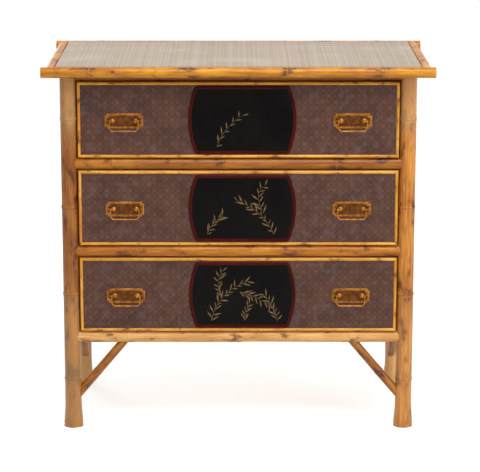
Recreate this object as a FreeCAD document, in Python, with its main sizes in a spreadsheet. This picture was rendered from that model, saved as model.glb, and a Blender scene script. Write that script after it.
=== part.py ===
import FreeCAD, Part
import math
import os
import re
import Sketcher

# Bamboo-framed chest of three long drawers: a pine case and pine drawers
# between four bamboo posts, with a bamboo edging round the top, bamboo rails
# between the drawers and open bamboo brackets under the case.
#
# Frame: millimetres, Z up, the drawers open towards -Y, origin on the floor
# under the middle of the top. Left and right are those of someone in front.

SIZES = {
    # the case, over its posts, and how far the top reaches past them
    "case_width": 800,
    "case_depth": 383,
    "leg_height": 200,
    "overhang_front": 40,
    "overhang_side": 30.5,
    "overhang_rear": 27,
    "pole_end": 7,
    # bamboo culms
    "post_dia": 38,
    "rail_dia": 28,
    "top_rail_room": 20,
    "edge_dia": 25,
    "bracket_dia": 20,
    "bracket_drop": 115,
    "bracket_run": 97,
    "side_bracket_inset": 2,
    "leg_node_lift": 28,
    "node_half": 3,
    "post_node_rise": 1,
    "rail_node_rise": 0.6,
    "edge_node_rise": 0.4,
    "foot_flare": 3,
    "foot_height": 24,
    "cope_gap": 0.2,
    "plug_dia": 15,
    "plug_depth": 8,
    "plug_play": 0.1,
    # pine boards of the case
    "top_board": 14,
    "top_panel": 3,
    "edge_rise": 0.5,
    "side_board": 12,
    "post_notch": 6,
    "back_board": 6,
    "back_joint": 0.4,
    "bottom_board": 12,
    "rail_board": 14,
    "rail_board_depth": 40,
    "runner_width": 18,
    "stop_height": 15,
    "stop_depth": 22.2,
    # the drawers
    "front_height": 172,
    "front_board": 16,
    "drawer_gap": 1,
    "drawer_side_gap": 1.5,
    "slide_gap": 0.3,
    "box_drop": 22,
    "box_side": 9,
    "box_back": 9,
    "back_drop": 5,
    "box_bottom": 6,
    "bottom_rise": 8,
    "groove_depth": 4,
    "groove_play": 0.2,
    "tail_length": 10,
    "tail_root": 20,
    "tail_splay": 3.5,
    # what dresses the drawer fronts and the sides
    "trim_dia": 7,
    "matting": 1.2,
    "cartouche_width": 242,
    "cartouche_shift": 9,
    "cartouche_bulge": 16,
    "cartouche_margin": 2,
    "cartouche_thick": 3,
    "cartouche_corner": 6,
    "cartouche_bevel": 1.5,
    # the drop handles
    "handle_place": 256,
    "handle_drop": 2,
    "plate_length": 86,
    "plate_height": 34,
    "plate_thick": 1.5,
    "plate_step": 5,
    "lug_spacing": 52,
    "lug_width": 7,
    "lug_reach": 10.5,
    "pivot_reach": 7.5,
    "pin_dia": 3,
    "pin_play": 0.08,
    "bail_gap": 0.4,
    "bail_bar": 4,
    "bail_head": 3,
    "bail_drop": 22,
    "bail_corner": 6,
    "shank_width": 5,
    "shank_play": 0.2,
    "shank_end": 5,
    "nut_width": 9,
    "nut_thick": 3,
}
DRAWERS = ("bottom_drawer", "middle_drawer", "top_drawer")
SIDES = (("left", -1), ("right", 1))
TAILS = 3
RAIL_NODES = 2
BACK_BOARDS = 4

doc = FreeCAD.newDocument("bamboo_chest")
sheet = doc.addObject("Spreadsheet::Sheet", "Sizes")
for row, (size_name, value) in enumerate(SIZES.items(), 1):
    sheet.set(f"A{row}", size_name)
    sheet.set(f"B{row}", str(value))
    sheet.setAlias(f"B{row}", size_name)
doc.recompute()

kept = []


# Building blocks. Every size and place is a formula in the sheet's names.

def linked(formula):
    """The formula with each size name pointed at its cell of the sheet."""
    def cell(word):
        return "Sizes." + word.group() if word.group() in SIZES else word.group()
    return re.sub(r"[a-z_]+", cell, formula)


def minus(formula):
    return f"-({formula})"


def span(sign, inner, outer):
    """Limits on the negative or the positive side of zero, lowest first."""
    return (inner, outer) if sign > 0 else (minus(outer), minus(inner))


def both(half):
    return minus(half), half


def bind(piece, **formulas):
    for name, formula in formulas.items():
        piece.setExpression(name, linked(formula))


def turn(axis, angle):
    return FreeCAD.Rotation(FreeCAD.Vector(*axis), angle)


TURNS = {"x": turn((0, 1, 0), 90), "y": turn((1, 0, 0), -90), "-y": turn((1, 0, 0), 90), "z": turn((0, 0, 1), 0)}


def place(piece, x="0", y="0", z="0", rotation=TURNS["z"]):
    piece.Placement = FreeCAD.Placement(FreeCAD.Vector(), rotation)
    for letter, formula in (("x", x), ("y", y), ("z", z)):
        piece.setExpression(".Placement.Base." + letter, linked(formula))
    return piece


def box(name, x, y, z):
    """A board between two limits along each axis."""
    piece = doc.addObject("Part::Box", name)
    bind(piece, Length=f"({x[1]}) - ({x[0]})", Width=f"({y[1]}) - ({y[0]})", Height=f"({z[1]}) - ({z[0]})")
    return place(piece, x[0], y[0], z[0])


def rod(name, dia, length, x="0", y="0", z="0", along="z"):
    """A round bar that starts at a point and runs along one axis."""
    piece = doc.addObject("Part::Cylinder", name)
    bind(piece, Radius=f"({dia}) / 2", Height=length)
    return place(piece, x, y, z, TURNS[along])


def cut(name, base, *tools):
    for number, tool in enumerate(tools, 1):
        piece = doc.addObject("Part::Cut", f"{name}_cut{number}")
        piece.Base = base
        piece.Tool = tool
        base = piece
    return base


def join(name, *pieces):
    whole = doc.addObject("Part::MultiFuse", name)
    whole.Shapes = list(pieces)
    return whole


def bundle(name, *pieces):
    """Like pieces that share a node and stay separate solids."""
    whole = doc.addObject("Part::Compound", name + "_group")
    whole.Links = list(pieces)
    return keep(name, whole)


def keep(label, piece):
    piece.Label = label
    kept.append(piece)
    return piece


def origin_of(body, role):
    return next(item for item in body.Origin.OriginFeatures if item.Role == role)


def add_feature(body, kind, name, lift="0", **formulas):
    """A PartDesign primitive on the body's ground plane, lifted along its axis."""
    feature = body.newObject("PartDesign::" + kind, name)
    feature.AttachmentSupport = [(origin_of(body, "XY_Plane"), "")]
    feature.MapMode = "FlatFace"
    bind(feature, **formulas)
    feature.setExpression(".AttachmentOffset.Base.z", linked(lift))
    doc.recompute()
    return feature


def ground_sketch(body, name):
    """A sketch on the body's ground plane."""
    sketch = body.newObject("Sketcher::SketchObject", name)
    sketch.AttachmentSupport = [(origin_of(body, "XY_Plane"), "")]
    sketch.MapMode = "FlatFace"
    return sketch


def hold_start(sketch, edge, start, **formulas):
    """Holds the first point of an edge of a sketch to formulas for its X and Y."""
    for letter, formula in formulas.items():
        held = sketch.addConstraint(Sketcher.Constraint("Distance" + letter, -1, 1, edge, 1,
                                                        getattr(start, letter.lower())))
        sketch.renameConstraint(held, f"start{edge}{letter}")
        sketch.setExpression(f"Constraints.start{edge}{letter}", linked(formula))


def close_loop(sketch, count):
    """Joins the first edges of a sketch end to start, the last to the first."""
    for edge in range(count):
        sketch.addConstraint(Sketcher.Constraint("Coincident", edge, 2, (edge + 1) % count, 1))


def pad(body, name, sketch, thickness):
    plate = body.newObject("PartDesign::Pad", name)
    plate.Profile = sketch
    bind(plate, Length=thickness)
    doc.recompute()
    return plate


def outline(name, points, thickness):
    """A plate padded from a closed outline of straight edges, each corner held to the sheet."""
    body = doc.addObject("PartDesign::Body", name)
    sketch = ground_sketch(body, name + "_outline")
    count = len(points)
    ring = [FreeCAD.Vector(math.cos(2 * math.pi * k / count), math.sin(2 * math.pi * k / count), 0)
            for k in range(count)]
    for k in range(count):
        sketch.addGeometry(Part.LineSegment(ring[k], ring[(k + 1) % count]))
    close_loop(sketch, count)
    for k, (x, y) in enumerate(points):
        hold_start(sketch, k, ring[k], X=x, Y=y)
    pad(body, name + "_pad", sketch, thickness)
    return body


def mirrored(half):
    """A closed outline from its right half, listed from the top down."""
    return half + [(minus(x), y) for x, y in reversed(half)]


def add_ridge(body, name, dia, rise, height):
    """The swelling of one bamboo node round a pole, as the two features that make it."""
    wall, crest = f"{dia} / 2", f"{dia} / 2 + {rise}"
    return [add_feature(body, "AdditiveCone", name + "_below", f"{height} - node_half",
                        Radius1=wall, Radius2=crest, Height="node_half"),
            add_feature(body, "AdditiveCone", name + "_above", height,
                        Radius1=crest, Radius2=wall, Height="node_half")]


def culm(name, dia, length, rise, nodes, first, pitch):
    """A bamboo pole along Z, with a ridge at each of its nodes."""
    body = doc.addObject("PartDesign::Body", name)
    add_feature(body, "AdditiveCylinder", name + "_wall", Radius=f"{dia} / 2", Height=length)
    first_ridge = add_ridge(body, name, dia, rise, first)
    if nodes > 1:
        ridges = body.newObject("PartDesign::LinearPattern", name + "_nodes")
        ridges.Originals = first_ridge
        ridges.Direction = (origin_of(body, "Z_Axis"), [""])
        ridges.Occurrences = nodes
        bind(ridges, Length=f"({pitch}) * {nodes - 1}")
        body.Tip = ridges
        doc.recompute()
    return body


# Lines and levels that several pieces share.

PITCH = "(front_height + 2 * drawer_gap + rail_dia)"
CASE_TOP = f"(leg_height + {len(DRAWERS)} * {PITCH} + top_rail_room)"
HALF_DEPTH = "((overhang_front + case_depth + overhang_rear) / 2)"
POST_X = "(case_width / 2 - post_dia / 2)"
FRONT_Y = f"(overhang_front + post_dia / 2 - {HALF_DEPTH})"
REAR_Y = f"({HALF_DEPTH} - overhang_rear - post_dia / 2)"
SIDE_OUT = f"({POST_X} - post_notch)"
SIDE_IN = f"({SIDE_OUT} - side_board)"
BOARDS_FRONT = f"({FRONT_Y} + post_notch)"
BOARDS_REAR = f"({REAR_Y} - post_notch)"
RAIL_FRONT = f"({FRONT_Y} - rail_dia / 2)"
RAIL_REAR = f"({FRONT_Y} + rail_dia / 2 + rail_node_rise)"
BACK_FRONT = f"({BOARDS_REAR} - back_board)"


def rail_axis(level):
    """Height of the axis of the rail under a drawer, the lowest being 0."""
    return f"(leg_height + rail_dia / 2 + {level} * {PITCH})"


def drawer_base(level):
    return f"({rail_axis(level)} + rail_dia / 2 + drawer_gap)"


def runner_top(level):
    return f"({drawer_base(level)} - slide_gap)"


# Posts: a culm from the floor to the top board, its root end for a foot, with
# a square notch that takes the corner of the pine case. One node lies in the
# leg, above the foot of the brackets, and one behind each drawer front.

LEG_NODE_Z = "(leg_height - bracket_drop + leg_node_lift)"
post_spaces = {}
board_spaces = []
for side, sign in SIDES:
    board_spaces.append(box(side + "_board_space", span(sign, f"{SIDE_IN} - cope_gap", SIDE_OUT),
                            (f"{BOARDS_FRONT} - cope_gap", f"{BOARDS_REAR} + cope_gap"),
                            ("leg_height - cope_gap", CASE_TOP)))
    for end, post_y, inwards in (("front", FRONT_Y, 1), ("rear", REAR_Y, -1)):
        label = f"{end}_{side}_post"
        pole = culm(label + "_culm", "post_dia", CASE_TOP, "post_node_rise", len(DRAWERS),
                    f"{drawer_base(0)} + front_height / 2", PITCH)
        add_ridge(pole, label + "_leg", "post_dia", "post_node_rise", LEG_NODE_Z)
        add_feature(pole, "AdditiveCone", label + "_foot", Radius1="post_dia / 2 + foot_flare",
                    Radius2="post_dia / 2", Height="foot_height")
        place(pole, f"{sign} * {POST_X}", post_y)
        near, far = span(inwards, "post_notch", "post_dia")
        notch = box(label + "_notch", span(sign, f"{POST_X} - post_dia", SIDE_OUT),
                    (f"{post_y} + {near}", f"{post_y} + {far}"), ("leg_height", f"{CASE_TOP} + post_notch"))
        keep(label, cut(label, pole, notch))
        post_spaces[end, side] = rod(label + "_space", "post_dia + 2 * cope_gap", CASE_TOP,
                                     f"{sign} * {POST_X}", post_y)


# Front rails: culms between the front posts, their ends scribed to them.

def front_rail(label, dia, axis_z):
    pole = culm(label + "_culm", dia, f"2 * {POST_X}", "rail_node_rise", RAIL_NODES,
                f"{POST_X} / {RAIL_NODES}", f"2 * {POST_X} / {RAIL_NODES}")
    place(pole, minus(POST_X), f"{RAIL_FRONT} + {dia} / 2", axis_z, TURNS["x"])
    keep(label, cut(label, pole, post_spaces["front", "left"], post_spaces["front", "right"], *board_spaces))


front_rail("bottom_front_rail", "rail_dia", rail_axis(0))
front_rail("lower_front_rail", "rail_dia", rail_axis(1))
front_rail("upper_front_rail", "rail_dia", rail_axis(2))
front_rail("top_front_rail", "(top_rail_room - 2 * rail_node_rise)", f"{CASE_TOP} - top_rail_room / 2")

# Side rails: split culms, flat to the side boards, at the foot and the head of
# each side, scribed to the posts.

SIDE_RUN = f"({REAR_Y} - {FRONT_Y})"
HIGH_RAIL_Z = f"({CASE_TOP} - rail_dia / 2)"
side_rails = []
for side, sign in SIDES:
    for spot, axis_z in (("low", rail_axis(0)), ("high", HIGH_RAIL_Z)):
        label = f"{side}_{spot}_rail"
        split = doc.addObject("Part::Cylinder", label + "_split")
        bind(split, Radius="rail_dia / 2", Height=SIDE_RUN, Angle="180")
        place(split, f"{sign} * {SIDE_OUT}", FRONT_Y, axis_z, turn((0, 1, 0), -sign * 90).multiply(TURNS["y"]))
        side_rails.append(cut(label, split, post_spaces["front", side], post_spaces["rear", side]))
bundle("side_rails", *side_rails)

# Brackets: open diagonals from the legs up to the lowest rails, scribed at
# both ends. The front has a pair, and each side has one at either leg.

BRACKET_LEAN = "atan(bracket_run / bracket_drop)"
BRACKET_START = "(leg_height - bracket_drop * (1 + post_dia / 2 / bracket_run))"
BRACKET_LONG = f"((leg_height + rail_dia / 2 - {BRACKET_START}) / cos({BRACKET_LEAN}))"
SCRIBED_RAIL = "rail_dia + 2 * cope_gap"


def bracket(label, x, y, lean_axis, *tools):
    """A short cane from between two nodes, so it has no ridge of its own."""
    pole = rod(label + "_cane", "bracket_dia", BRACKET_LONG)
    place(pole, x, y, BRACKET_START, turn(lean_axis, 45))
    pole.setExpression(".Placement.Rotation.Angle", linked(BRACKET_LEAN))
    return cut(label, pole, *tools)


front_rail_space = rod("front_rail_space", SCRIBED_RAIL, f"2 * {POST_X}", minus(POST_X), FRONT_Y,
                       rail_axis(0), "x")
side_brackets = []
for (side, sign), board_space in zip(SIDES, board_spaces):
    label = f"front_{side}_bracket"
    keep(label, bracket(label, f"{sign} * {POST_X}", FRONT_Y, (0, -sign, 0),
                        post_spaces["front", side], front_rail_space))
    rail_space = rod(f"{side}_rail_space", SCRIBED_RAIL, SIDE_RUN, f"{sign} * {SIDE_OUT}", FRONT_Y,
                     rail_axis(0), "y")
    for end, post_y, lean in (("front", FRONT_Y, -1), ("rear", REAR_Y, 1)):
        side_brackets.append(bracket(f"{end}_{side}_side_bracket", f"{sign} * ({SIDE_OUT} + side_bracket_inset)",
                                     post_y, (lean, 0, 0), post_spaces[end, side], rail_space, board_space))
bundle("side_brackets", *side_brackets)

# Pine case: side boards into the notches of the posts, upright back boards
# between them, a bottom, and behind each bamboo rail a pine rail that the
# runners join.

for side, sign in SIDES:
    keep(f"{side}_side_board", box(f"{side}_board", span(sign, SIDE_IN, SIDE_OUT),
                                   (BOARDS_FRONT, BOARDS_REAR), ("leg_height", CASE_TOP)))
BACK_PITCH = f"((2 * {SIDE_IN} + back_joint) / {BACK_BOARDS})"
back_boards = []
for number in range(BACK_BOARDS):
    left_edge = f"({number} * {BACK_PITCH} - {SIDE_IN})"
    back_boards.append(box(f"back{number}", (left_edge, f"{left_edge} + {BACK_PITCH} - back_joint"),
                           (BACK_FRONT, BOARDS_REAR), ("leg_height", CASE_TOP)))
bundle("back_board", *back_boards)
keep("bottom_board", box("bottom", both(SIDE_IN), (RAIL_REAR, BACK_FRONT),
                         (f"{runner_top(0)} - bottom_board", runner_top(0))))
rail_boards = []
runners = []
stops = []
RAIL_BOARD_REAR = f"({RAIL_REAR} + rail_board_depth)"
for level in range(len(DRAWERS)):
    top = runner_top(level) if level else CASE_TOP
    rail_boards.append(box(f"rail_board{level}", both(SIDE_IN), (RAIL_REAR, RAIL_BOARD_REAR),
                           (f"{top} - rail_board", top)))
BOX_FRONT = f"({RAIL_FRONT} + trim_dia / 2 + front_board)"
BOX_REAR = f"({BACK_FRONT} - stop_depth - slide_gap)"
BOX_HEIGHT = "(front_height - box_drop)"
for level in range(len(DRAWERS)):
    for side, sign in SIDES:
        width = span(sign, f"{SIDE_IN} - runner_width", SIDE_IN)
        if level:
            runners.append(box(f"{side}_runner{level}", width, (RAIL_BOARD_REAR, BACK_FRONT),
                               (f"{runner_top(level)} - rail_board", runner_top(level))))
        stops.append(box(f"{side}_stop{level}", width, (f"{BACK_FRONT} - stop_depth", BACK_FRONT),
                         (runner_top(level), f"{runner_top(level)} + stop_height")))
bundle("rail_boards", *rail_boards)
bundle("drawer_runners", *runners)
bundle("drawer_stops", *stops)


# Split-bamboo strips, mitred at the corners, frame the drawer fronts and the
# matting of the sides.

def strip_frame(name, corners, lengths, first_turn, outwards):
    """Four half-round strips, each a quarter turn on from the last."""
    strips = []
    for number, corner in enumerate(corners):
        length = lengths[number % 2]
        mitre = doc.addObject("Part::Wedge", f"{name}_mitre{number}")
        bind(mitre, Xmin="0", Xmax=length, X2min="trim_dia", X2max=f"{length} - trim_dia",
             Ymin="0", Ymax="trim_dia", Zmin="0", Zmax="trim_dia / 2", Z2min="0", Z2max="trim_dia / 2")
        split = doc.addObject("Part::Cylinder", f"{name}_split{number}")
        bind(split, Radius="trim_dia / 2", Height=length, Angle="180")
        place(split, "0", "trim_dia / 2", "0", turn((1, 1, 1), 120))
        strip = doc.addObject("Part::Common", f"{name}_strip{number}")
        strip.Base = split
        strip.Tool = mitre
        strips.append(place(strip, *corner, turn(outwards, 90 * number).multiply(first_turn)))
    return strips


# Side matting, tacked to the side boards under its frame of strips.

MAT_FRONT = f"({FRONT_Y} + post_dia / 2 + post_node_rise + slide_gap)"
MAT_REAR = f"({REAR_Y} - post_dia / 2 - post_node_rise - slide_gap)"
MAT_LOW = f"({rail_axis(0)} + rail_dia / 2)"
MAT_HIGH = f"({CASE_TOP} - rail_dia)"
side_mats = []
side_strips = []
for side, sign in SIDES:
    side_mats.append(box(f"{side}_matting", span(sign, SIDE_OUT, f"{SIDE_OUT} + matting"),
                         (MAT_FRONT, MAT_REAR), (MAT_LOW, MAT_HIGH)))
    x = f"{sign} * ({SIDE_OUT} + matting)"
    start, finish = (MAT_FRONT, MAT_REAR)[::sign]
    half_turn = turn((0, 0, 1), 90 - sign * 90)
    corners = ((x, start, MAT_LOW), (x, finish, MAT_LOW), (x, finish, MAT_HIGH), (x, start, MAT_HIGH))
    side_strips += strip_frame(f"{side}_frame", corners,
                               (f"({MAT_REAR} - {MAT_FRONT})", f"({MAT_HIGH} - {MAT_LOW})"),
                               half_turn.multiply(turn((1, 1, 1), 120)), (sign, 0, 0))
bundle("side_matting", *side_mats)
bundle("side_trim", *side_strips)

# Top: a pine board on the posts and boards, a thin panel on it, and a bamboo
# edging. The front and rear poles run past the side poles, which are scribed
# to them, and their open ends are closed with plugs.

EDGE_X = "(case_width / 2 + overhang_side - edge_dia / 2)"
EDGE_Y = f"({HALF_DEPTH} - edge_dia / 2)"
EDGE_Z = f"({CASE_TOP} + top_board + top_panel + edge_rise - edge_dia / 2)"
EDGE_HALF = "(case_width / 2 + overhang_side + pole_end)"
TOP_HALF = f"({EDGE_X} - edge_dia / 2 - edge_node_rise)"
TOP_HALF_DEPTH = f"({EDGE_Y} - edge_dia / 2 - edge_node_rise)"
keep("top_board", box("top", both(TOP_HALF), both(TOP_HALF_DEPTH), (CASE_TOP, f"{CASE_TOP} + top_board")))
keep("top_panel", box("panel", both(TOP_HALF), both(TOP_HALF_DEPTH),
                      (f"{CASE_TOP} + top_board", f"{CASE_TOP} + top_board + top_panel")))
pole_spaces = []
plugs = []
for end, sign in (("front", -1), ("rear", 1)):
    label = f"top_{end}_pole"
    pole = culm(label + "_culm", "edge_dia", f"2 * {EDGE_HALF}", "edge_node_rise", 4,
                f"{EDGE_HALF} / 4", f"{EDGE_HALF} / 2")
    place(pole, minus(EDGE_HALF), f"{sign} * {EDGE_Y}", EDGE_Z, TURNS["x"])
    recesses = []
    for side, hand in SIDES:
        limits = span(hand, f"{EDGE_HALF} - plug_depth", EDGE_HALF)
        recesses.append(rod(f"{label}_{side}_recess", "plug_dia + 2 * plug_play", "plug_depth",
                            limits[0], f"{sign} * {EDGE_Y}", EDGE_Z, "x"))
        plugs.append(rod(f"{label}_{side}_plug", "plug_dia", "plug_depth",
                         limits[0], f"{sign} * {EDGE_Y}", EDGE_Z, "x"))
    keep(label, cut(label, pole, *recesses))
    pole_spaces.append(rod(label + "_space", "edge_dia + 2 * cope_gap", f"2 * {EDGE_HALF}",
                           minus(EDGE_HALF), f"{sign} * {EDGE_Y}", EDGE_Z, "x"))
side_poles = []
for side, sign in SIDES:
    label = f"top_{side}_pole"
    pole = culm(label + "_culm", "edge_dia", f"2 * {EDGE_Y}", "edge_node_rise", 2,
                f"{EDGE_Y} / 2", EDGE_Y)
    place(pole, f"{sign} * {EDGE_X}", minus(EDGE_Y), EDGE_Z, TURNS["y"])
    side_poles.append(cut(label, pole, *pole_spaces))
bundle("top_side_poles", *side_poles)
bundle("pole_plugs", *plugs)

# Drawers. The sides are lapped into the front with dovetails, the bottom lies
# in grooves of the sides and the front and passes under the back.

FACE = f"({RAIL_FRONT} + trim_dia / 2)"
FRONT_HALF = f"({POST_X} - post_dia / 2 - drawer_side_gap)"
INSIDE_HALF = f"({FRONT_HALF} - box_side)"
FIELD_HALF = f"({FRONT_HALF} - trim_dia)"
PLATE_REAR = f"({FACE} - matting)"
PLATE_FRONT = f"({PLATE_REAR} - plate_thick)"
PIVOT_Y = f"({PLATE_FRONT} - pivot_reach)"
BAIL_IN = "(lug_spacing / 2 + lug_width / 2 + bail_gap)"
BAIL_OUT = f"({BAIL_IN} + bail_bar)"


def edges_where(shape, test):
    return [f"Edge{number}" for number, edge in enumerate(shape.Edges, 1) if test(edge)]


def draw_barrel(sketch, half_width, half_height, bulge):
    """Straight above and below, with sides that swell outwards between the corners."""
    corners = [FreeCAD.Vector(x, y, 0) for x, y in ((-1, -1), (1, -1), (1, 1), (-1, 1))]
    circle = Part.Circle(FreeCAD.Vector(), FreeCAD.Vector(0, 0, 1), corners[0].Length)
    eighth = math.pi / 4
    sketch.addGeometry(Part.LineSegment(corners[0], corners[1]))
    sketch.addGeometry(Part.ArcOfCircle(circle, -eighth, eighth))
    sketch.addGeometry(Part.LineSegment(corners[2], corners[3]))
    sketch.addGeometry(Part.ArcOfCircle(circle, 3 * eighth, 5 * eighth))
    close_loop(sketch, len(corners))
    for k, corner in enumerate(corners):
        hold_start(sketch, k, corner, X=f"{corner.x} * ({half_width} - {bulge})", Y=f"{corner.y} * {half_height}")
    for arc, sign in ((1, 1), (3, -1)):
        widest = FreeCAD.Vector(sign * circle.Radius, 0, 0)
        point = sketch.addGeometry(Part.Point(widest), True)
        sketch.addConstraint(Sketcher.Constraint("PointOnObject", point, 1, arc))
        sketch.addConstraint(Sketcher.Constraint("PointOnObject", point, 1, -1))
        hold_start(sketch, point, widest, X=f"{sign} * {half_width}")


def lacquer_panel(label, base):
    """A thin barrel-shaped board with eased corners and a bevelled rim, set a little right of the middle."""
    body = doc.addObject("PartDesign::Body", label + "_body")
    sketch = ground_sketch(body, label + "_outline")
    draw_barrel(sketch, "cartouche_width / 2", "(front_height / 2 - trim_dia - cartouche_margin)", "cartouche_bulge")
    slab = pad(body, label + "_slab", sketch, "cartouche_thick")
    corners = body.newObject("PartDesign::Fillet", label + "_corners")
    corners.Base = (slab, edges_where(slab.Shape, lambda edge: abs(edge.tangentAt(0).z) > 0.9))
    bind(corners, Radius="cartouche_corner")
    doc.recompute()
    rim = body.newObject("PartDesign::Chamfer", label + "_rim")
    face = slab.Shape.BoundBox.ZMax - 0.001
    rim.Base = (corners, edges_where(corners.Shape, lambda edge: edge.BoundBox.ZMin > face))
    bind(rim, Size="cartouche_bevel")
    doc.recompute()
    place(body, "cartouche_shift", PLATE_REAR, f"{base} + front_height / 2", TURNS["-y"])
    return keep(label, body)


def dovetails(name, sign, base):
    """The tails of one drawer side, which also cut their sockets in the front."""
    tails = []
    x = f"{FRONT_HALF}" if sign > 0 else minus(INSIDE_HALF)
    for number in range(TAILS):
        tail = doc.addObject("Part::Wedge", f"{name}_tail{number}")
        bind(tail, Xmin="0", Xmax="box_side", X2min="0", X2max="box_side", Ymin="0", Ymax="tail_length",
             Zmin="-tail_root / 2", Zmax="tail_root / 2",
             Z2min="-tail_root / 2 - tail_splay", Z2max="tail_root / 2 + tail_splay")
        centre = f"{base} + {BOX_HEIGHT} * {2 * number + 1} / {2 * TAILS}"
        tails.append(place(tail, x, BOX_FRONT, centre, turn((0, 0, 1), 180)))
    return tails


def bolt_bar(name, x, z, width, start, finish):
    """A square bar for a handle bolt or the hole that takes it."""
    return box(name, (f"{x} - ({width}) / 2", f"{x} + ({width}) / 2"), (start, finish),
               (f"{z} - ({width}) / 2", f"{z} + ({width}) / 2"))


def handle_plate(name, x, z):
    """An oblong plate with stepped corners, two cross-bored lugs and their square bolts."""
    half_long, half_high = "plate_length / 2", "plate_height / 2"
    inner_x, inner_y = f"{half_long} - plate_step", f"({half_high} - plate_step)"
    right_half = [(inner_x, half_high), (inner_x, inner_y), (half_long, inner_y), (half_long, minus(inner_y)),
                  (inner_x, minus(inner_y)), (inner_x, minus(half_high))]
    plate = outline(name + "_plate", mirrored(right_half), "plate_thick")
    pieces = [place(plate, x, PLATE_REAR, z, TURNS["-y"])]
    for side, sign in SIDES:
        lug_x = f"{x} + {sign} * lug_spacing / 2"
        pieces.append(bolt_bar(f"{name}_{side}_lug", lug_x, z, "lug_width",
                               f"{PLATE_FRONT} - lug_reach", f"{PLATE_REAR} - plate_thick / 2"))
        pieces.append(bolt_bar(f"{name}_{side}_shank", lug_x, z, "shank_width",
                               f"{PLATE_REAR} - plate_thick / 2", f"{BOX_FRONT} + shank_end"))
    bore = rod(name + "_bore", "pin_dia + 2 * pin_play", "lug_spacing + 2 * lug_width",
               f"{x} - lug_spacing / 2 - lug_width", PIVOT_Y, z, "x")
    return cut(name, join(name + "_whole", *pieces), bore)


def bail(label, x, z):
    """A cast drop handle with canted corners, hung on pins in the lugs."""
    floor, inside_floor = "(bail_drop + bail_bar / 2)", "(bail_drop - bail_bar / 2)"
    inside_corner = "(bail_corner - bail_bar * (2 - sqrt(2)))"
    outer = [(BAIL_OUT, "bail_head"), (BAIL_OUT, f"bail_corner - {floor}"),
             (f"{BAIL_OUT} - bail_corner", minus(floor))]
    inner = [(f"{BAIL_IN} - {inside_corner}", minus(inside_floor)), (BAIL_IN, f"{inside_corner} - {inside_floor}"),
             (BAIL_IN, "bail_head")]
    loop = outline(label + "_loop", mirrored(outer) + mirrored(inner[::-1])[::-1], "bail_bar")
    pieces = [place(loop, x, f"{PIVOT_Y} + bail_bar / 2", z, TURNS["-y"])]
    for side, sign in SIDES:
        pin = span(sign, "lug_spacing / 2 - lug_width / 2 + bail_gap", f"{BAIL_IN} + bail_bar / 2")
        pieces.append(rod(f"{label}_{side}_pin", "pin_dia", f"({pin[1]}) - ({pin[0]})", f"{x} + {pin[0]}",
                          PIVOT_Y, z, "x"))
    return keep(label, join(label + "_whole", *pieces))


for level, drawer in enumerate(DRAWERS):
    base = drawer_base(level)
    handle_z = f"({base} + front_height / 2 - handle_drop)"
    handle_spots = [(side, f"{sign} * handle_place") for side, sign in SIDES]

    groove = box(drawer + "_groove", both(f"{INSIDE_HALF} + groove_depth"),
                 (f"{BOX_FRONT} - groove_depth", f"{BOX_REAR} + groove_depth"),
                 (f"{base} + bottom_rise", f"{base} + bottom_rise + box_bottom + groove_play"))
    bolt_holes = []
    plates = []
    nuts = []
    for side, x in handle_spots:
        plates.append(handle_plate(f"{drawer}_{side}_plate", x, handle_z))
        for end, sign in SIDES:
            bolt_x = f"{x} + {sign} * lug_spacing / 2"
            hole = bolt_bar(f"{drawer}_{side}_{end}_hole", bolt_x, handle_z, "shank_width + 2 * shank_play",
                            PLATE_REAR, f"{BOX_FRONT} + nut_thick")
            nut = bolt_bar(f"{drawer}_{side}_{end}_blank", bolt_x, handle_z, "nut_width",
                           BOX_FRONT, f"{BOX_FRONT} + nut_thick")
            nuts.append(cut(f"{drawer}_{side}_{end}_nut", nut, hole))
            bolt_holes.append(hole)
    bolt_holes = join(drawer + "_bolt_holes", *bolt_holes)

    box_sides = []
    sockets = []
    for side, sign in SIDES:
        board = box(f"{drawer}_{side}_board", span(sign, INSIDE_HALF, FRONT_HALF), (BOX_FRONT, BOX_REAR),
                    (base, f"{base} + {BOX_HEIGHT}"))
        tails = dovetails(f"{drawer}_{side}", sign, base)
        sockets += tails
        box_sides.append(cut(f"{drawer}_{side}_side", join(f"{drawer}_{side}_tailed", board, *tails), groove))
    front = box(drawer + "_front", both(FRONT_HALF), (FACE, BOX_FRONT), (base, f"{base} + front_height"))
    keep(drawer + "_front_board", cut(drawer + "_front", front, *sockets, groove, bolt_holes))
    bundle(drawer + "_sides", *box_sides)
    keep(drawer + "_back", box(drawer + "_rear", both(INSIDE_HALF), (f"{BOX_REAR} - box_back", BOX_REAR),
                               (f"{base} + bottom_rise + box_bottom + groove_play",
                                f"{base} + {BOX_HEIGHT} - back_drop")))
    keep(drawer + "_bottom", box(drawer + "_floor", both(f"{INSIDE_HALF} + groove_depth - groove_play"),
                                 (f"{BOX_FRONT} - groove_depth + groove_play", BOX_REAR),
                                 (f"{base} + bottom_rise + groove_play / 2",
                                  f"{base} + bottom_rise + box_bottom + groove_play / 2")))

    low, high = f"({base} + trim_dia)", f"({base} + front_height - trim_dia)"
    sheet_of_matting = box(drawer + "_sheet", both(FIELD_HALF), (PLATE_REAR, FACE), (low, high))
    keep(drawer + "_matting", cut(drawer + "_matting", sheet_of_matting, bolt_holes))
    lacquer_panel(drawer + "_cartouche", base)
    left, right = both(FRONT_HALF)
    foot, head = base, f"({base} + front_height)"
    bundle(drawer + "_trim", *strip_frame(drawer + "_frame", ((left, FACE, foot), (right, FACE, foot),
                                                              (right, FACE, head), (left, FACE, head)),
                                          (f"(2 * {FRONT_HALF})", "front_height"), TURNS["-y"], (0, -1, 0)))
    bundle(drawer + "_handle_plates", *plates)
    bundle(drawer + "_handle_nuts", *nuts)
    for side, x in handle_spots:
        bail(f"{drawer}_{side}_bail", x, handle_z)

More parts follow.
